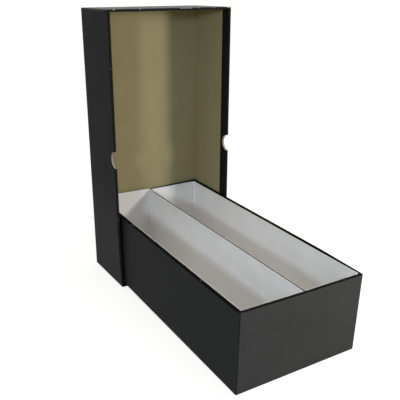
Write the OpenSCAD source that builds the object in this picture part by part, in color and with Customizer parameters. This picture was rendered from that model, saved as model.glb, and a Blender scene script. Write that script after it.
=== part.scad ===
// Slab storage box: a long tray with two rows, and a separate lift-off lid almost as deep as
// the tray. Both are board folded up at four sides and covered with black paper, which is
// turned in over the rim. The lid stands on one of its end walls with its mouth to the front.
// The tray lies on its bottom with its far end pushed into that mouth, so it leans a little on
// the rim of the lid's lower end wall.
// X runs across the rows, Y along them towards the lid, and Z up. The origin is on the floor
// in the middle of the footprint.

/* [Tray] */
// Outer width of the tray, across its two rows
tray_w = 152; // [110:1:200]
// Outer length of the tray, along its rows
tray_l = 335; // [200:1:420]
// Outer height of the tray
tray_h = 92; // [60:0.5:130]

/* [Lid] */
// Outer depth of the lid, from the outside of its panel to its rim
lid_depth = 85; // [60:0.5:110]
// Radius of the half-round thumb notch in each long wall of the lid
notch_r = 10.5; // [6:0.5:13]

/* [Board and covering paper] */
// Thickness of the board that the tray and the lid are folded from
board_t = 2.2; // [1.5:0.1:3]
// Thickness of the black covering paper
paper_t = 0.3; // [0.2:0.05:0.5]
// Width of the covering paper that is turned in over the rim
turn_in = 15; // [8:1:25]
// Radius of the folded edges, measured on the outside of the paper
fold_r = 0.9; // [0.6:0.1:1.5]

/* [Row liners and divider] */
// Thickness of the white card that lines each row
liner_t = 0.6; // [0.4:0.1:1]
// Outer radius of a liner's upright corners, where the card is bent and not creased
liner_r = 3; // [1.5:0.5:5]
// How far a liner's top edge lies below the tray's rim
liner_drop = 0.4; // [0.2:0.1:2]
// Thickness of the divider board between the two rows
divider_t = 1.5; // [1:0.1:3]

/* [Fits] */
// Clearance between the tray and each long wall of the lid when the tray is centred in it
side_clr = 2.4; // [0.8:0.1:3]
// Clearance between the tray and each end wall of the lid when the box is closed
end_clr = 0.4; // [0.4:0.1:3]
// Gap left between the tray and the lid's right wall, towards which the tray has been pushed
push_gap = 0.4; // [0.3:0.1:0.6]
// Gap between the tray's far end and the lid's panel
far_gap = 0.5; // [0.3:0.1:1]
// Gap between the tray's bottom and the rim of the lid's lower end wall
seat_gap = 0.3; // [0.2:0.1:0.5]

/* [Hidden] */

// Facets round a full circle
$fn = 64;
// How far a cut runs past the surface that it opens
over = 1;

// The floor of the tray, the panel of the lid, and a wall below its turned-in paper
panel_t = board_t + paper_t;
// A wall at the rim, with the paper turned in over it
wall_t = panel_t + paper_t;

// The lid closes over the tray with its clearances
lid_w = tray_w + 2 * (side_clr + wall_t);
lid_l = tray_l + 2 * (end_clr + wall_t);

// How far the tray's far end reaches into the lid that stands behind it
pushed_in = lid_depth - panel_t - far_gap;
// The tray leans on the rim of the lid's lower end wall, and its near bottom edge is on the floor
lean = asin((wall_t + seat_gap) / (tray_l - pushed_in));

// Places along Y: the whole depth is centred on the origin
reach = tray_h * sin(lean) + tray_l * cos(lean) + far_gap + panel_t;
back_y = reach / 2;
near_y = back_y - panel_t - far_gap - tray_l * cos(lean);
// The tray's left side, pushed over to the right within the lid's clearance
tray_x = side_clr - push_gap - tray_w / 2;

// Inside of the tray, shared by the two liners and the divider
inner_w = tray_w - 2 * wall_t;
inner_l = tray_l - 2 * wall_t;
row_w = (inner_w - divider_t) / 2;
liner_h = tray_h - panel_t - liner_drop;
divider_h = tray_h - panel_t;

// Colours
wrap_black = [0.13, 0.13, 0.14];
raw_board = [0.47, 0.43, 0.32];
row_white = [0.84, 0.84, 0.84];
divider_grey = [0.27, 0.26, 0.24];

// An upright outline with its four corners rounded, from the origin towards +X and +Y
module rounded_outline(w, l, r) {
    translate([r, 0]) square([w - 2 * r, l]);
    translate([0, r]) square([w, l - 2 * r]);
    for (x = [r, w - r], y = [r, l - r]) translate([x, y]) circle(r = r);
}

// A block with every edge rounded, as one outline seen from the top, the side and the front
module soft_block(w, l, h, r) {
    intersection() {
        linear_extrude(h) rounded_outline(w, l, r);
        rotate([90, 0, 90]) linear_extrude(w) rounded_outline(l, h, r);
        translate([0, l, 0]) rotate([90, 0, 0]) linear_extrude(l) rounded_outline(w, h, r);
    }
}

// The space inside an open box whose walls are t thick, between heights low and high
module inside(w, l, t, low, high) {
    translate([t, t, low]) cube([w - 2 * t, l - 2 * t, high - low]);
}

// The board of an open box: floor and four walls, a paper's thickness inside the outer size
module board_shell(w, l, h) {
    difference() {
        translate([paper_t, paper_t, paper_t])
            soft_block(w - 2 * paper_t, l - 2 * paper_t, h - 2 * paper_t, fold_r - paper_t);
        inside(w, l, panel_t, panel_t, h + over);
    }
}

// The covering paper of an open box: its outside, its rim, and the strip turned in at the rim
module wrap_skin(w, l, h) {
    difference() {
        soft_block(w, l, h, fold_r);
        board_shell(w, l, h);
        inside(w, l, panel_t, panel_t, h - turn_in);
        inside(w, l, wall_t, h - turn_in - over, h + over);
    }
}

// The half-round thumb notch, cut through both long walls in the middle of their length
module thumb_notches() {
    translate([-over, lid_l / 2, lid_depth])
        rotate([0, 90, 0]) cylinder(r = notch_r, h = lid_w + 2 * over);
}

// A row's white card: a floor and four walls, bent round its upright corners
module row_liner() {
    clear_w = row_w - 2 * liner_t;
    clear_l = inner_l - 2 * liner_t;
    difference() {
        linear_extrude(liner_h) rounded_outline(row_w, inner_l, liner_r);
        translate([liner_t, liner_t, liner_t])
            linear_extrude(liner_h) rounded_outline(clear_w, clear_l, liner_r - liner_t);
    }
}

// The tray's own frame: its near bottom left corner is the origin, and the floor is its bottom
module place_tray() {
    translate([tray_x, near_y, 0]) rotate([lean, 0, 0]) children();
}

// The lid's own frame is that of an open box too, and is stood up with its mouth to the front
module place_lid() {
    translate([-lid_w / 2, back_y, 0]) rotate([90, 0, 0]) children();
}

module tray_board() {
    color(raw_board) place_tray() board_shell(tray_w, tray_l, tray_h);
}

module tray_wrap() {
    color(wrap_black) place_tray() wrap_skin(tray_w, tray_l, tray_h);
}

module row_liner_left() {
    color(row_white) place_tray() translate([wall_t, wall_t, panel_t]) row_liner();
}

module row_liner_right() {
    color(row_white) place_tray() translate([wall_t + row_w + divider_t, wall_t, panel_t]) row_liner();
}

module divider() {
    color(divider_grey) place_tray()
        translate([wall_t + row_w, wall_t, panel_t]) cube([divider_t, inner_l, divider_h]);
}

module lid_board() {
    color(raw_board) place_lid() difference() {
        board_shell(lid_w, lid_l, lid_depth);
        thumb_notches();
    }
}

module lid_wrap() {
    color(wrap_black) place_lid() difference() {
        wrap_skin(lid_w, lid_l, lid_depth);
        thumb_notches();
    }
}

tray_board();
tray_wrap();
row_liner_left();
row_liner_right();
divider();
lid_board();
lid_wrap();
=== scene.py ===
"""Looks of the slab storage box: a covered tray with two white rows, and its lift-off lid,
stood on one end wall behind the tray. Lengths are in millimetres until a piece is placed."""

import math

import bmesh
import bpy
from mathutils import Matrix, Vector


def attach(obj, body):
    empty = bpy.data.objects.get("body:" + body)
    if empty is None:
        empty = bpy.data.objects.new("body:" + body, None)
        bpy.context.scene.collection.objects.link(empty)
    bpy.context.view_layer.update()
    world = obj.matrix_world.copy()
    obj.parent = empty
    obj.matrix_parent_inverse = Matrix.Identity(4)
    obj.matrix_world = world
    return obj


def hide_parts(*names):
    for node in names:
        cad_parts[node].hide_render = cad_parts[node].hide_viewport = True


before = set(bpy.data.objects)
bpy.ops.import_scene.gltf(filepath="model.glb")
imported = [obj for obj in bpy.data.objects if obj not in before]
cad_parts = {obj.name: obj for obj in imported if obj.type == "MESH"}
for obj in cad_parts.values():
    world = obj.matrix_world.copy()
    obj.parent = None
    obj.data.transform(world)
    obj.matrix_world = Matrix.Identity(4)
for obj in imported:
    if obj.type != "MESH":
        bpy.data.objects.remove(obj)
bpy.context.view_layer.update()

MM = 0.001

# Sizes of the solids, as the part's source names them
TRAY_W, TRAY_L, TRAY_H = 152, 335, 92
LID_DEPTH, NOTCH_R = 85, 10.5
BOARD_T, PAPER_T, TURN_IN, FOLD_R = 2.2, 0.3, 15, 0.9
LINER_T, LINER_R, LINER_DROP, DIVIDER_T = 0.6, 3, 0.4, 1.5
SIDE_CLR, END_CLR, PUSH_GAP, FAR_GAP, SEAT_GAP = 2.4, 0.4, 0.4, 0.5, 0.3

PANEL_T = BOARD_T + PAPER_T
WALL_T = PANEL_T + PAPER_T
LID_W = TRAY_W + 2 * (SIDE_CLR + WALL_T)
LID_L = TRAY_L + 2 * (END_CLR + WALL_T)
PUSHED_IN = LID_DEPTH - PANEL_T - FAR_GAP
LEAN = math.asin((WALL_T + SEAT_GAP) / (TRAY_L - PUSHED_IN))
REACH = TRAY_H * math.sin(LEAN) + TRAY_L * math.cos(LEAN) + FAR_GAP + PANEL_T
BACK_Y = REACH / 2
NEAR_Y = BACK_Y - PANEL_T - FAR_GAP - TRAY_L * math.cos(LEAN)
TRAY_X = SIDE_CLR - PUSH_GAP - TRAY_W / 2
INNER_L = TRAY_L - 2 * WALL_T
ROW_W = (TRAY_W - 2 * WALL_T - DIVIDER_T) / 2
LINER_H = TRAY_H - PANEL_T - LINER_DROP
DIVIDER_H = TRAY_H - PANEL_T

LID_SIZE = (LID_W, LID_L, LID_DEPTH)
TRAY_SIZE = (TRAY_W, TRAY_L, TRAY_H)

# Where the tray's and the lid's own frames lie: floor at z 0, mouth upwards, corner at the origin
IN_TRAY = Matrix.Translation((TRAY_X, NEAR_Y, 0)) @ Matrix.Rotation(LEAN, 4, "X")
IN_LID = Matrix.Translation((-LID_W / 2, BACK_Y, 0)) @ Matrix.Rotation(math.pi / 2, 4, "X")

# How far the used lid has settled: its left wall at the back and at the rim's lower end, with the
# power by which the rim bends, and the back of its top, with the power by which that sags
LEFT_BACK_IN, LEFT_RIM_IN, RIM_BEND = 1.6, 2.6, 5
TOP_BACK_DOWN, TOP_BEND = 1.3, 4
# How far the used tray has settled: its near end at the left and at the foot, its divider, its
# left rim, and its right rim, which stands up fully from some way along the tray
NEAR_LEFT_IN, NEAR_FOOT_IN, DIVIDER_ASIDE = 2.0, 1.6, 1.2
LEFT_RIM_UP_NEAR, LEFT_RIM_UP_FAR = 0.8, 2.2
RIGHT_RIM_UP, RIGHT_RIM_FROM = 1.6, 60
# The left row's card stands up at its far end, and its corners are pressed sharper
LEFT_CARD_UP, LEFT_CORNER_R = 1.3, 1.5

# Into how many parts a surface is cut along the tray or the lid, across it and up it, to bend
ALONG, ACROSS, UP = 20, 8, 6
CARD_ALONG, CARD_UP = 24, 5
# Roundings of the turned paper's inner edge and of the divider's top, and steps of each rounding
TURNED_R, DIVIDER_TOP_R = 0.35, 0.25
FOLD_STEPS, TURNED_STEPS, CORNER_STEPS, DIVIDER_STEPS = 4, 2, 6, 2
# Sides of a thumb notch's half circle, and how far the cuts that free it reach round it
NOTCH_SIDES, NOTCH_ROOM = 18, 3
# Two places this near are taken as one, and so are two corners that a cut makes. Faces that
# meet at less than this angle in radians are taken as flat
TOUCH, MERGE, FLAT = 0.01, 0.0005, 0.002


# Modelling

def block(w, l, h):
    """A block from the origin towards +X, +Y and +Z."""
    bm = bmesh.new()
    bmesh.ops.create_cube(bm, size=1)
    bmesh.ops.translate(bm, vec=(0.5, 0.5, 0.5), verts=bm.verts)
    bmesh.ops.scale(bm, vec=(w, l, h), verts=bm.verts)
    return bm


def sink_top(bm, wall, depth):
    """Sets the top face in by the wall's thickness and sinks it; returns the sunk face."""
    top = max(bm.faces, key=lambda face: face.calc_center_median().z)
    bmesh.ops.inset_region(bm, faces=[top], thickness=wall, use_even_offset=True)
    sunk = bmesh.ops.extrude_discrete_faces(bm, faces=[top])["faces"][0]
    bmesh.ops.translate(bm, vec=(0, 0, -depth), verts=sunk.verts)
    return sunk


def middles(bm, test):
    """The edges whose middle passes the test."""
    return [edge for edge in bm.edges if test((edge.verts[0].co + edge.verts[1].co) / 2)]


def round_edges(bm, edges, radius, segments):
    """Bevels the edges to a round."""
    bmesh.ops.bevel(bm, geom=edges, offset=radius, offset_type="OFFSET", segments=segments,
                    profile=0.5, affect="EDGES", material=-1)


def outer_edges(bm, w, l, h):
    """The twelve edges of the block that the walls came from."""
    def on_two_sides(p):
        on = [min(abs(p[i]), abs(p[i] - size)) < TOUCH for i, size in enumerate((w, l, h))]
        return sum(on) == 2
    return middles(bm, on_two_sides)


def slice_faces(bm, faces, point, normal):
    """Cuts the faces by a plane."""
    edges = {edge for face in faces for edge in face.edges}
    verts = {vert for face in faces for vert in face.verts}
    bmesh.ops.bisect_plane(bm, geom=[*faces, *edges, *verts], dist=MERGE,
                           plane_co=point, plane_no=normal)


def cut_across(bm, axis, places, test=None):
    """Cuts the surface, or the faces that pass the test, by planes across an axis."""
    for place_on_axis in places:
        point, normal = Vector((0, 0, 0)), Vector((0, 0, 0))
        point[axis], normal[axis] = place_on_axis, 1
        slice_faces(bm, [face for face in bm.faces if test is None or test(face)], point, normal)


def cut_to_bend(bm, cuts, size):
    """Cuts the surface into equal parts along Y, X and Z, so that it can bend there."""
    for axis in (1, 0, 2):
        count = cuts[axis]
        cut_across(bm, axis, [size[axis] * i / count for i in range(1, count)])


def cut_notches(bm, l, h):
    """Cuts the half-round thumb notch out of both long walls, straight through."""
    middle = Vector((0, l / 2, h))
    reach = NOTCH_R + NOTCH_ROOM

    def beside(face):
        return abs(face.calc_center_median().y - l / 2) < reach

    def by_the_notch(face):
        return beside(face) and face.calc_center_median().z > h - reach

    cut_across(bm, 1, (l / 2 - reach, l / 2 + reach))
    cut_across(bm, 2, (h - reach,), beside)
    for i in range(NOTCH_SIDES):
        start, end = math.pi * i / NOTCH_SIDES, math.pi * (i + 1) / NOTCH_SIDES
        outward = Vector((0, math.cos((start + end) / 2), -math.sin((start + end) / 2)))
        on_arc = middle + NOTCH_R * Vector((0, math.cos(start), -math.sin(start)))
        slice_faces(bm, [face for face in bm.faces if by_the_notch(face)], on_arc, outward)
    inner_r = NOTCH_R * math.cos(math.pi / NOTCH_SIDES / 2)
    inside = []
    for face in bm.faces:
        off = face.calc_center_median() - middle
        if by_the_notch(face) and math.hypot(off.y, off.z) < inner_r:
            inside.append(face)
    bmesh.ops.delete(bm, geom=inside, context="FACES")
    near = [face for face in bm.faces if by_the_notch(face)]
    edges = {edge for face in near for edge in face.edges if not edge.is_boundary}
    bmesh.ops.dissolve_limit(bm, angle_limit=FLAT, verts=[], edges=list(edges))


def close_notches(bm):
    """Joins the two faces of each notched wall by the cut edge of the board."""
    for side in (False, True):
        across = []
        for edge in bm.edges:
            start, end = (vert.co for vert in edge.verts)
            on_a_face = edge.is_boundary and abs(start.x - end.x) < TOUCH
            if on_a_face and (start.x > LID_W / 2) == side:
                across.append(edge)
        bmesh.ops.bridge_loops(bm, edges=across)


def settle_lid(bm):
    """The lid has given: its left wall is drawn in at two places, its top sags at the back."""
    for vert in bm.verts:
        p = vert.co
        up = min(max(p.y / LID_L, 0), 1)
        out = min(max(p.z / LID_DEPTH, 0), 1)
        left = max(1 - p.x / (LID_W / 2), 0)
        p.x += left * (LEFT_BACK_IN * (1 - out) + LEFT_RIM_IN * (1 - up) ** RIM_BEND * out)
        p.y -= TOP_BACK_DOWN * up ** TOP_BEND * (1 - out)


def settle_tray(bm, right_up):
    """The tray stands askew: its near end leans, its rims rise, its divider is off the middle."""
    for vert in bm.verts:
        p = vert.co
        near = 1 - p.y / TRAY_L
        across = 1 - 2 * p.x / TRAY_W
        drawn_in = NEAR_LEFT_IN * (1 - p.x / TRAY_W) + NEAR_FOOT_IN * (1 - p.z / TRAY_H)
        left_rim_up = LEFT_RIM_UP_NEAR * near + LEFT_RIM_UP_FAR * (1 - near)
        right_rim_up = right_up * min(max(p.y / RIGHT_RIM_FROM, 0), 1)
        p.z += (left_rim_up * max(across, 0) + right_rim_up * max(-across, 0)) * p.z / TRAY_H
        p.y += drawn_in * near
        p.x += DIVIDER_ASIDE * (1 - abs(across))


def place(name, bm, own, body, finish, nodes):
    """Puts a modelled piece into the row frame, on its body, in place of its solid."""
    bmesh.ops.recalc_face_normals(bm, faces=bm.faces)
    bmesh.ops.transform(bm, matrix=Matrix.Scale(MM, 4) @ own, verts=bm.verts)
    mesh = bpy.data.meshes.new(name)
    bm.to_mesh(mesh)
    bm.free()
    mesh.materials.append(finish)
    piece = bpy.data.objects.new(name, mesh)
    bpy.context.scene.collection.objects.link(piece)
    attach(piece, body)
    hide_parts(*nodes)


def covering_paper(size, notched):
    """The black paper of one box: outside, over the rim, and turned in by a strip."""
    w, l, h = size

    def at_inner_rim(p):
        set_in = min(p.x, w - p.x, p.y, l - p.y)
        return abs(p.z - h) < TOUCH and abs(set_in - WALL_T) < TOUCH

    bm = block(w, l, h)
    sunk = sink_top(bm, WALL_T, TURN_IN)
    bmesh.ops.delete(bm, geom=[sunk], context="FACES_ONLY")
    inner_rim = middles(bm, at_inner_rim)
    round_edges(bm, outer_edges(bm, w, l, h), FOLD_R, FOLD_STEPS)
    round_edges(bm, [edge for edge in inner_rim if edge.is_valid], TURNED_R, TURNED_STEPS)
    cut_to_bend(bm, (ACROSS, ALONG, UP), size)
    if notched:
        cut_notches(bm, l, h)
    bmesh.ops.recalc_face_normals(bm, faces=bm.faces)
    bmesh.ops.solidify(bm, geom=bm.faces[:], thickness=PAPER_T)
    return bm


def folded_board(size, notched):
    """A board folded up at four sides, as an open box inside its covering paper."""
    w, l, h = size
    bm = block(w - 2 * PAPER_T, l - 2 * PAPER_T, h - 2 * PAPER_T)
    sink_top(bm, BOARD_T, h - 2 * PAPER_T - BOARD_T)
    bmesh.ops.translate(bm, vec=(PAPER_T,) * 3, verts=bm.verts)
    cut_to_bend(bm, (ACROSS, ALONG, UP), size)
    if notched:
        cut_notches(bm, l, h)
        close_notches(bm)
    return bm


def row_card(left, corner_r=LINER_R, far_up=0):
    """A row's white card, bent round its upright corners; its far wall can stand up a little."""
    bm = block(ROW_W, INNER_L, LINER_H)
    upright = middles(bm, lambda p: abs(p.z - LINER_H / 2) < TOUCH)
    round_edges(bm, upright, corner_r, CORNER_STEPS)
    sink_top(bm, LINER_T, LINER_H - LINER_T)
    cut_to_bend(bm, (1, CARD_ALONG, CARD_UP), (ROW_W, INNER_L, LINER_H))
    far_y = INNER_L - LINER_R - TOUCH
    far_rim = [vert for vert in bm.verts if vert.co.z > LINER_H - TOUCH and vert.co.y > far_y]
    bmesh.ops.translate(bm, vec=(0, 0, far_up), verts=far_rim)
    bmesh.ops.translate(bm, vec=(left, WALL_T, PANEL_T), verts=bm.verts)
    return bm


def divider_board():
    """The full-length board between the two rows, with its top edges eased."""
    bm = block(DIVIDER_T, INNER_L, DIVIDER_H)
    top = middles(bm, lambda p: abs(p.z - DIVIDER_H) < TOUCH)
    round_edges(bm, top, DIVIDER_TOP_R, DIVIDER_STEPS)
    cut_to_bend(bm, (1, CARD_ALONG, 1), (DIVIDER_T, INNER_L, DIVIDER_H))
    bmesh.ops.translate(bm, vec=(WALL_T + ROW_W, WALL_T, PANEL_T), verts=bm.verts)
    return bm


# Finishes

# The Mix node's sockets for colours: its factor, first and second colour, and result
MIX_FACTOR, MIX_FIRST, MIX_SECOND, MIX_RESULT = 0, 6, 7, 2
# A spot is full up to this part of its half size, squared
SPOT_CORE = 0.35


class Wire:
    """An output in a material's nodes. Sums, products and the like of wires add Math nodes."""

    def __init__(self, tree, socket=None):
        self.tree, self.socket = tree, socket

    def node(self, kind, settings, inputs, out=0):
        """Adds any node: first its settings, then the values or wires of its sockets."""
        new = self.tree.nodes.new(kind)
        for key, value in settings.items():
            setattr(new, key, value)
        for key, value in inputs.items():
            if isinstance(value, Wire):
                self.tree.links.new(value.socket, new.inputs[key])
            else:
                new.inputs[key].default_value = value
        return Wire(self.tree, new.outputs[out])

    def math(self, operation, *others):
        values = dict(enumerate((self, *others)))
        return self.node("ShaderNodeMath", {"operation": operation}, values)

    def __add__(self, other):
        return self.math("ADD", other)

    def __sub__(self, other):
        return self.math("SUBTRACT", other)

    def __rsub__(self, other):
        return (self * -1).math("ADD", other)

    def __mul__(self, other):
        return self.math("MULTIPLY", other)

    def __truediv__(self, other):
        return self.math("DIVIDE", other)

    def __pow__(self, count):
        """This wire times itself, by a whole count."""
        return self if count == 1 else self * self ** (count - 1)

    __radd__, __rmul__ = __add__, __mul__

    def least(self, other):
        return self.math("MINIMUM", other)

    def most(self, other):
        return self.math("MAXIMUM", other)

    def fade(self, low, high):
        """0 where this is at low, 1 where it is at high, smooth between."""
        return self.node("ShaderNodeMapRange", {"interpolation_type": "SMOOTHSTEP"},
                         {"Value": self, "From Min": low, "From Max": high})

    def tint(self, low, high):
        """A colour between two, by this wire."""
        inputs = {MIX_FACTOR: self, MIX_FIRST: colour(low), MIX_SECOND: colour(high)}
        return self.node("ShaderNodeMix", {"data_type": "RGBA"}, inputs, MIX_RESULT)

    def dim(self, part):
        """This colour, times a part that varies."""
        inputs = {MIX_FACTOR: 1, MIX_FIRST: self, MIX_SECOND: vector(part, part, part)}
        settings = {"data_type": "RGBA", "blend_type": "MULTIPLY"}
        return self.node("ShaderNodeMix", settings, inputs, MIX_RESULT)


def colour(value):
    """A colour's wire as it is, or its three numbers with an alpha of 1."""
    return value if isinstance(value, Wire) else (*value, 1)


def grey(value):
    return (value, value, value)


def vector(x, y, z):
    return x.node("ShaderNodeCombineXYZ", {}, {0: x, 1: y, 2: z})


def material(name):
    """A new material, a wire to start from, its surface shader, and Object coordinates in mm."""
    made = bpy.data.materials.new(name)
    made.use_nodes = True
    tree = made.node_tree
    surface = tree.nodes["Principled BSDF"]
    start = Wire(tree)
    object_place = start.node("ShaderNodeTexCoord", {}, {}, "Object")
    axes = tree.nodes.new("ShaderNodeSeparateXYZ")
    tree.links.new(object_place.socket, axes.inputs[0])
    x, y, z = (Wire(tree, axes.outputs[i]) / MM for i in range(3))
    return made, start, surface, (x, y, z)


def of_tray(x, y, z):
    """Row frame to the tray's own frame, in mm, as it was before it settled."""
    x, y = x - TRAY_X, y - NEAR_Y
    y, z = y * math.cos(LEAN) + z * math.sin(LEAN), z * math.cos(LEAN) - y * math.sin(LEAN)
    left_rim_up = y * ((LEFT_RIM_UP_FAR - LEFT_RIM_UP_NEAR) / TRAY_L) + LEFT_RIM_UP_NEAR
    right_rim_up = (y / RIGHT_RIM_FROM).most(0).least(1) * RIGHT_RIM_UP
    across = 1 - x * (2 / TRAY_W)
    rim_up = left_rim_up * across.most(0) + right_rim_up * (across * -1).most(0)
    z = z / (rim_up / TRAY_H + 1)
    drawn_in = (1 - x / TRAY_W) * NEAR_LEFT_IN + (1 - z / TRAY_H) * NEAR_FOOT_IN
    return x, (y - drawn_in) / (1 - drawn_in / TRAY_L), z


def of_lid(x, y, z):
    """Row frame to the lid's own frame, in mm, as it was before it settled."""
    x, y, z = x + LID_W / 2, z, BACK_Y - y
    out = z / LID_DEPTH
    y = y + (y / LID_L) ** TOP_BEND * (1 - out) * TOP_BACK_DOWN
    drawn_in = (1 - out) * LEFT_BACK_IN + (1 - y / LID_L) ** RIM_BEND * out * LEFT_RIM_IN
    return x - (1 - x / (LID_W / 2)).most(0) * drawn_in, y, z


def grain(p, size, detail=3, rough=0.5, stretch=(1, 1, 1)):
    """Noise from 0 to 1 whose lumps are of the given size in mm, drawn out along an axis."""
    x, y, z = (p[i] / (size * stretch[i]) for i in range(3))
    return x.node("ShaderNodeTexNoise", {"noise_dimensions": "3D"},
                  {"Vector": vector(x, y, z), "Scale": 1, "Detail": detail, "Roughness": rough})


def feed(start, surface, base, rough, gloss, bumps):
    """Connects colour and roughness, and a stack of bumps: each a height, its mm and strength."""
    tree = start.tree
    tree.links.new(base.socket, surface.inputs["Base Color"])
    tree.links.new(rough.socket, surface.inputs["Roughness"])
    surface.inputs["Specular IOR Level"].default_value = gloss
    normal = None
    for height, depth, strength in bumps:
        inputs = {"Height": height, "Distance": depth * MM, "Strength": strength}
        if normal is not None:
            inputs["Normal"] = normal
        normal = start.node("ShaderNodeBump", {}, inputs)
    tree.links.new(normal.socket, surface.inputs["Normal"])


def mark(p, centre, half):
    """1 in the middle of a spot, 0 outside it."""
    parts = [(p[i] - centre[i]) / half[i] for i in range(3)]
    away = parts[0] ** 2 + parts[1] ** 2 + parts[2] ** 2
    return 1 - away.fade(SPOT_CORE, 1)


# Tones of the covering paper: its painted shade where turned in and along its folds, its painted
# sheen on its far end, and rubbed
TURNED_IN_SHADE_BLACK, FOLD_SHADE_BLACK, FAR_END_SHEEN_GREY = (0.0115, 0.0105, 0.0105), grey(0.004), grey(0.05)
RUBBED_PALE = (0.42, 0.41, 0.38)
# How far from a fold it is rubbed and how far its painted shade reaches, how far in it is turned
# in, and how far from the far end it has that end's painted sheen: each from where in mm it
# changes, to where
RUBBED_OVER, FOLD_SHADE_OVER, TURNED_OVER, FAR_SHEEN_OVER = (0.25, 1.5), (0.5, 1.5), (0.7, 1.6), (0.3, 0.9)
# How far from the rim it has the rim's painted shade, and by how much less at the near end, and
# how far it is dull
RIM_SHADE_OVER, NEAR_RIM_SHADE_LESS, DULL_OVER = (1.2, 3.4), 1.7, (1.2, 2.4)
# Each paper's black, its lighter black towards one end, and its black at the rim, which is
# painted shade
LID_BLACKS = (grey(0.0125), grey(0.028), grey(0.013))
TRAY_BLACKS = (grey(0.020), grey(0.048), FOLD_SHADE_BLACK)
# Between which places along the paper its lighter black fades out: a painted sheen on the tray's
# near end, and on the lid lighter towards its foot
LID_LIGHTER_FOOT, TRAY_NEAR_SHEEN = (60, 150), (0.6, 2)
# Nicks in the covering paper: middle and half size in its own frame, and how pale
LID_NICKS = [
    ((7.4, 341.4, 85), (1.6, 1.2, 0.9), 1),
    ((39.5, 341.4, 85), (1.5, 1, 0.8), 1),
    ((92.7, 341.4, 85), (1.8, 1.2, 0.9), 1),
    ((99, 341.4, 85), (7, 0.9, 0.7), 0.8),
    ((105.4, 341.4, 85), (1.8, 1.2, 0.9), 1),
    ((116.4, 341.4, 85), (1.4, 1, 0.9), 1),
    ((137.6, 341.4, 85), (1.4, 1, 0.9), 1),
    ((159, 341.4, 85), (3.6, 1.2, 0.9), 1),
    ((0, 163.9, 0), (1.2, 2, 1.2), 0.8),
    ((0, 113.2, 0), (1.2, 1.6, 1.2), 0.5),
    ((162.4, 305, 85), (0.9, 1.5, 0.6), 0.5),
    ((162.4, 268, 85), (0.9, 1.5, 0.6), 0.5),
    ((0, 340.6, 48), (0.8, 1.6, 44), 0.12),
]
TRAY_NICKS = [
    ((0.2, 258, 92), (0.7, 1.6, 0.6), 0.5),
    ((0.2, 226, 92), (0.7, 3, 0.6), 0.5),
    ((0.2, 68, 92), (0.7, 1.6, 0.6), 0.3),
    ((152, 0, 70), (0.7, 0.7, 3), 0.5),
]


def black_paper(name, own, size, nicks, blacks, lighter_end_over):
    """Black covering paper: fine tooth, uneven sheen, and folded edges rubbed pale in places.

    Painted shade makes it blackest at its rim, its folds and where it is turned in. It is lighter
    towards the lid's foot, and a painted sheen greys the tray's near end and each paper's far
    end."""
    made, start, surface, place_of = material(name)
    p = own(*place_of)
    w, l, h = size
    black, lighter_end_black, rim_shade_black = blacks
    side, end, rim = p[0].least(w - p[0]), p[1].least(l - p[1]), h - p[2]
    fold = side.most(end).least(side.most(rim)).least(end.most(rim))
    fold = fold.least(side.most(p[2])).least(end.most(p[2]))
    far_end_sheen = 1 - (l - p[1]).fade(*FAR_SHEEN_OVER)
    near_end = 1 - p[1].fade(WALL_T, WALL_T + 1)

    tooth = grain(p, 0.55, detail=4, rough=0.65)
    fibre = grain(p, 0.9, rough=0.6, stretch=(1, 1, 3))
    cloud = grain(p, 38)
    patch = grain(p, 7, detail=4, rough=0.65)
    rubbed = (1 - fold.fade(*RUBBED_OVER)) * patch.fade(0.60, 0.76) * tooth.fade(0.35, 0.6)
    for middle, half, strength in nicks:
        rubbed = rubbed.most(mark(p, middle, half) * tooth.fade(0.25, 0.42) * strength)

    # A lighter black towards one end: a painted sheen on the tray's near end; the lid is lighter
    # towards its foot
    base = (1 - p[1].fade(*lighter_end_over)).tint(black, lighter_end_black)
    # Painted sheen: the far end's face is made greyer, as it shines where seen edge-on
    base = far_end_sheen.tint(base, FAR_END_SHEEN_GREY)
    base = base.dim((tooth * 0.5 + cloud * 0.5).fade(0.2, 0.8) * 0.3 + 0.85)
    # Painted shade: the paper turned in over the rim and down the inside is made blacker
    base = side.least(end).fade(*TURNED_OVER).tint(base, TURNED_IN_SHADE_BLACK)
    # Painted shade along the folds, in patches
    base = ((1 - fold.fade(*FOLD_SHADE_OVER)) * patch.fade(0.25, 0.5) * 0.85).tint(base, FOLD_SHADE_BLACK)
    # Painted shade over the rim, narrower at the near end
    base = (1 - (rim + near_end * NEAR_RIM_SHADE_LESS).fade(*RIM_SHADE_OVER)).tint(base, rim_shade_black)
    base = (rubbed * 0.85).tint(base, RUBBED_PALE)
    dull = (rubbed * 0.3).most((1 - rim.fade(*DULL_OVER)) * 0.5)
    rough = 0.5 - far_end_sheen * 0.22 + cloud * 0.12 + fibre * 0.08 + dull
    feed(start, surface, base, rough, gloss=0.03,
         bumps=[(cloud, 0.6, 0.25), (tooth, 0.05, 0.5), (fibre, 0.04, 0.35), (rubbed, 0.1, 0.4)])
    return made


# The raw board: its two tones, its fibres and specks, its notch's cut edge, its worn inner corner
BOARD_DARK, BOARD_LIGHT = (0.275, 0.236, 0.127), (0.304, 0.260, 0.143)
BOARD_FIBRE, BOARD_SPECK = (0.40, 0.35, 0.22), (0.15, 0.115, 0.065)
CUT_DARK, CUT_LIGHT = (0.22, 0.19, 0.165), (0.34, 0.305, 0.275)
WORN_BOARD = (0.46, 0.43, 0.33)
# Painted light on the lid's board: its brightness at the lid's foot, darker, and at its top,
# lighter
BOARD_PAINTED_FOOT, BOARD_PAINTED_TOP = 0.93, 1.05
# The worn inner corner: between which places up the lid it begins and ends, and how wide it is
WORN_FROM, WORN_TO, WORN_OVER = (200, 275), (318, 330), (0.2, 0.7)
# How far outside the notch's radius its cut edge's tone ends
CUT_OVER = (0.05, 0.2)


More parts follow.
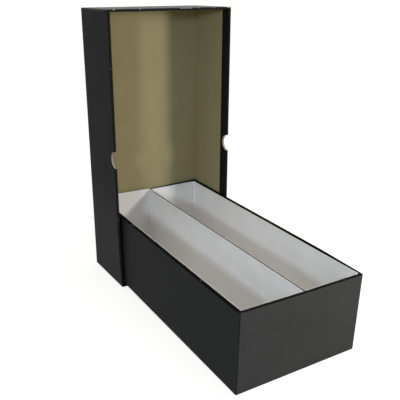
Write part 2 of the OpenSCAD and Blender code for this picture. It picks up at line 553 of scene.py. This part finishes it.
def raw_board(name, own, size, notched):
    """Grey-brown board: long fibres and specks, and in the lid a worn corner and cut notches."""
    made, start, surface, place_of = material(name)
    p = own(*place_of)
    w, l, h = size
    fibre = grain(p, 0.5, detail=4, rough=0.65, stretch=(1, 9, 1))
    fleck = grain(p, 0.8, detail=2, stretch=(1, 2.5, 1))
    band = grain(p, 14, stretch=(1, 12, 1))
    cloud = grain(p, 55, rough=0.55)
    base = (band * 0.5 + cloud * 0.5).fade(0.3, 0.7).tint(BOARD_DARK, BOARD_LIGHT)
    base = (fibre.fade(0.58, 0.75) * 0.2).tint(base, BOARD_FIBRE)
    base = (fleck.fade(0.66, 0.74) * 0.25).tint(base, BOARD_SPECK)
    if notched:
        # Painted light: the lid's board is darker at its foot and lighter towards its top
        base = base.dim(p[1] * ((BOARD_PAINTED_TOP - BOARD_PAINTED_FOOT) / l) + BOARD_PAINTED_FOOT)
        corner = (w - PANEL_T - p[0]).most(p[2] - PANEL_T)
        worn = p[1].fade(*WORN_FROM) * (1 - p[1].fade(*WORN_TO)) * (1 - corner.fade(*WORN_OVER))
        base = (worn * fleck.fade(0.35, 0.6) * 0.75).tint(base, WORN_BOARD)
        from_axis = ((p[1] - l / 2) ** 2 + (h - p[2]) ** 2).math("SQRT")
        cut = 1 - (from_axis - NOTCH_R).fade(*CUT_OVER)
        base = cut.tint(base, (fibre * 0.6 + 0.2).tint(CUT_DARK, CUT_LIGHT))
    rough = 0.8 + cloud * 0.1 + fibre * 0.08
    feed(start, surface, base, rough, gloss=0.25,
         bumps=[(band, 0.25, 0.25), (fibre, 0.06, 0.5), (fleck, 0.04, 0.3)])
    return made


# The white card: its two tones and its specks, its painted light at the near and the far end, and
# how much painted shade takes from the far wall and from low down at the near end
CARD_DARK, CARD_LIGHT = (0.714, 0.709, 0.714), (0.754, 0.749, 0.754)
CARD_SPECK, SEAM_SHADOW_GREY = (0.45, 0.42, 0.37), (0.2, 0.19, 0.18)
CARD_PAINTED_NEAR, CARD_PAINTED_FAR, FAR_WALL_SHADE_LESS, NEAR_LOW_SHADE_LESS = 0.985, 1.025, 0.12, 0.12
# Between which places along the rows, and between which heights, the painted shade low down at
# the near end fades out
PAINTED_SHADE_ALONG, PAINTED_SHADE_UP = (60, 260), (66, 86)
# The thin painted contact shadow down the far right bend of the right card, where it meets the
# far
# wall: its place and half width, where along the row it begins, and between which heights it
# begins and ends
SEAM_X, SEAM_OVER = TRAY_W - WALL_T - LINER_R * 0.72, (0.15, 0.5)
SEAM_BACK = (TRAY_L - 12, TRAY_L - 8)
SEAM_FROM, SEAM_TO = (TRAY_H - 36, TRAY_H - 28), (TRAY_H - 12, TRAY_H - 6)


def white_card(name):
    """White lining card: smooth, faintly mottled, with painted shade low down at the near end and
    on the far wall, and painted light towards the far end.
    """
    made, start, surface, place_of = material(name)
    p = of_tray(*place_of)
    tooth = grain(p, 0.7, rough=0.6)
    cloud = grain(p, 30, detail=4, rough=0.55)
    fleck = grain(p, 1.4, detail=2)
    base = cloud.fade(0.3, 0.7).tint(CARD_DARK, CARD_LIGHT)
    far_wall = p[1].fade(TRAY_L - WALL_T - LINER_R, TRAY_L - WALL_T - LINER_T)
    # Painted shade low down at the near end of the rows
    painted_shade_low = (1 - p[1].fade(*PAINTED_SHADE_ALONG)) * (1 - p[2].fade(*PAINTED_SHADE_UP))
    # Painted light: the card is lighter towards the far end, and painted shade darkens the far
    # wall
    along = p[1] * ((CARD_PAINTED_FAR - CARD_PAINTED_NEAR) / TRAY_L) + CARD_PAINTED_NEAR
    base = base.dim(along * (1 - far_wall * FAR_WALL_SHADE_LESS) * (1 - painted_shade_low * NEAR_LOW_SHADE_LESS))
    base = (fleck.fade(0.7, 0.78) * 0.3).tint(base, CARD_SPECK)
    # Painted contact shadow down the right card's far right bend
    seam_shadow = 1 - (p[0] - SEAM_X).math("ABSOLUTE").fade(*SEAM_OVER)
    seam_shadow = seam_shadow * p[1].fade(*SEAM_BACK) * p[2].fade(*SEAM_FROM) * (1 - p[2].fade(*SEAM_TO))
    base = (seam_shadow * 0.6).tint(base, SEAM_SHADOW_GREY)
    rough = 0.55 + tooth * 0.15
    feed(start, surface, base, rough, gloss=0.3, bumps=[(cloud, 0.5, 0.2), (tooth, 0.03, 0.3)])
    return made


DIVIDER_DARK, DIVIDER_LIGHT = (0.012, 0.011, 0.009), (0.035, 0.031, 0.026)


def dark_board(name):
    """The divider's dark board, with its layers showing along the top edge."""
    made, start, surface, place_of = material(name)
    p = of_tray(*place_of)
    layer = grain(p, 0.35, rough=0.6, stretch=(1, 30, 30))
    fibre = grain(p, 0.8, rough=0.6, stretch=(1, 6, 1))
    base = (layer * 0.6 + fibre * 0.4).fade(0.35, 0.65).tint(DIVIDER_DARK, DIVIDER_LIGHT)
    rough = 0.75 + fibre * 0.15
    feed(start, surface, base, rough, gloss=0.2, bumps=[(layer, 0.1, 0.4), (fibre, 0.05, 0.4)])
    return made


lid_black = black_paper("lid_black_paper", of_lid, LID_SIZE, LID_NICKS, LID_BLACKS, LID_LIGHTER_FOOT)
tray_black = black_paper("tray_black_paper", of_tray, TRAY_SIZE, TRAY_NICKS, TRAY_BLACKS,
                         TRAY_NEAR_SHEEN)
lid_kraft = raw_board("lid_raw_board", of_lid, LID_SIZE, True)
tray_kraft = raw_board("tray_raw_board", of_tray, TRAY_SIZE, False)
card_white = white_card("row_white_card")
divider_dark = dark_board("divider_dark_board")


# Pieces

def lid_piece(name, bm, finish, node):
    settle_lid(bm)
    place(name, bm, IN_LID, "lid", finish, [node])


def tray_piece(name, bm, finish, node, right_up=0):
    settle_tray(bm, right_up)
    place(name, bm, IN_TRAY, "tray", finish, [node])


lid_piece("lid_covering_paper", covering_paper(LID_SIZE, True), lid_black,
          "lid_wrap")
lid_piece("lid_folded_board", folded_board(LID_SIZE, True), lid_kraft,
          "lid_board")
tray_piece("tray_covering_paper", covering_paper(TRAY_SIZE, False), tray_black,
           "tray_wrap", RIGHT_RIM_UP)
tray_piece("tray_folded_board", folded_board(TRAY_SIZE, False), tray_kraft,
           "tray_board", RIGHT_RIM_UP)
tray_piece("left_row_card", row_card(WALL_T, LEFT_CORNER_R, LEFT_CARD_UP),
           card_white, "row_liner_left")
tray_piece("right_row_card", row_card(WALL_T + ROW_W + DIVIDER_T),
           card_white, "row_liner_right")
tray_piece("row_divider", divider_board(), divider_dark, "divider")


# Stage, lamps and camera

# The floor's half width in metres, its grey under the lamps, and what it adds as seen directly
FLOOR_HALF, FLOOR_GREY, FLOOR_GLOW = 12, 0.35, 0.74
# The surroundings light the box evenly, and more from overhead
AMBIENT, OVERHEAD, SKY_TINT = 0.12, 1.85, (1, 0.97, 0.86)
# The camera's turns in degrees, its distance from the picture in pixels, and its place in metres
PHOTO_ANGLES, PHOTO_FOCUS_PX = (-31.511, 20.533, 0.306), 588.14
PHOTO_PLACE = (-0.34440, -0.53899, 0.37209)
PHOTO_PX, SENSOR_MM = 400, 36


def seen_directly(start):
    """1 for camera, glossy and transmission rays, else 0."""
    path = start.tree.nodes.new("ShaderNodeLightPath")
    camera, glossy, through = (Wire(start.tree, path.outputs[name]) for name in
                               ("Is Camera Ray", "Is Glossy Ray", "Is Transmission Ray"))
    return camera.most(glossy).most(through)


def white_stage():
    """A floor that keeps the box's shadow and looks white where it is lit."""
    bm = bmesh.new()
    bmesh.ops.create_grid(bm, x_segments=1, y_segments=1, size=FLOOR_HALF)
    mesh = bpy.data.meshes.new("floor")
    bm.to_mesh(mesh)
    bm.free()
    floor = bpy.data.objects.new("floor", mesh)
    bpy.context.scene.collection.objects.link(floor)
    made = bpy.data.materials.new("white_floor")
    made.use_nodes = True
    tree = made.node_tree
    tree.nodes.remove(tree.nodes["Principled BSDF"])
    start = Wire(tree)
    matt = start.node("ShaderNodeBsdfDiffuse", {}, {"Color": colour(grey(FLOOR_GREY))})
    glow = start.node("ShaderNodeEmission", {}, {"Strength": seen_directly(start) * FLOOR_GLOW})
    both = start.node("ShaderNodeAddShader", {}, {0: matt, 1: glow})
    tree.links.new(both.socket, tree.nodes["Material Output"].inputs["Surface"])
    mesh.materials.append(made)


def surroundings():
    """White where they are seen directly, and a dimmer warm light on the box."""
    world = bpy.data.worlds.new("white_surroundings")
    bpy.context.scene.world = world
    world.use_nodes = True
    tree = world.node_tree
    tree.nodes.remove(tree.nodes["Background"])
    start = Wire(tree)
    way = tree.nodes.new("ShaderNodeSeparateXYZ")
    ray = start.node("ShaderNodeTexCoord", {}, {}, "Generated")
    tree.links.new(ray.socket, way.inputs[0])
    height = Wire(tree, way.outputs[2]).most(0)
    dim = start.node("ShaderNodeBackground", {}, {"Color": colour(SKY_TINT),
                                                  "Strength": height ** 3 * OVERHEAD + AMBIENT})
    white = start.node("ShaderNodeBackground", {}, {"Color": colour(grey(1)), "Strength": 1})
    mix = start.node("ShaderNodeMixShader", {}, {0: seen_directly(start), 1: dim, 2: white})
    tree.links.new(mix.socket, tree.nodes["World Output"].inputs["Surface"])


def lamp(name, where, target, size, power, tint):
    """A round lamp that faces a target, with its places and width in metres."""
    data = bpy.data.lights.new(name, "AREA")
    data.shape = "DISK"
    data.size, data.energy, data.color = size, power, tint
    made = bpy.data.objects.new(name, data)
    made.location = where
    made.rotation_euler = (Vector(target) - Vector(where)).to_track_quat("-Z", "Y").to_euler()
    bpy.context.scene.collection.objects.link(made)


def photo_camera():
    """The pinhole camera fitted to the photograph's edges."""
    azimuth, elevation, roll = map(math.radians, PHOTO_ANGLES)
    across = Vector((math.cos(azimuth), math.sin(azimuth), 0))
    back = Vector((math.sin(azimuth) * math.cos(elevation),
                   -math.cos(azimuth) * math.cos(elevation), math.sin(elevation)))
    up = back.cross(across)
    right = math.cos(roll) * across + math.sin(roll) * up
    above = math.cos(roll) * up - math.sin(roll) * across
    data = bpy.data.cameras.new("photo_camera")
    data.sensor_width, data.lens = SENSOR_MM, PHOTO_FOCUS_PX / PHOTO_PX * SENSOR_MM
    data.clip_start, data.clip_end = 0.01, 100
    camera = bpy.data.objects.new("photo_camera", data)
    turn = Matrix((right, above, back)).transposed().to_4x4()
    camera.matrix_world = Matrix.Translation(PHOTO_PLACE) @ turn
    bpy.context.scene.collection.objects.link(camera)
    bpy.context.scene.camera = camera


photo_camera()
white_stage()
surroundings()
lamp("front_right_lamp", where=(0.331, -0.399, 0.362), target=(0.02, 0.06, 0.12),
     size=0.112, power=2.4, tint=(1.0, 0.97, 0.92))
lamp("front_left_lamp", where=(-0.765, -0.665, 0.478), target=(0, 0, 0.1),
     size=0.14, power=4.0, tint=(0.735, 0.865, 1.0))
bpy.context.scene.view_settings.view_transform = "Standard"
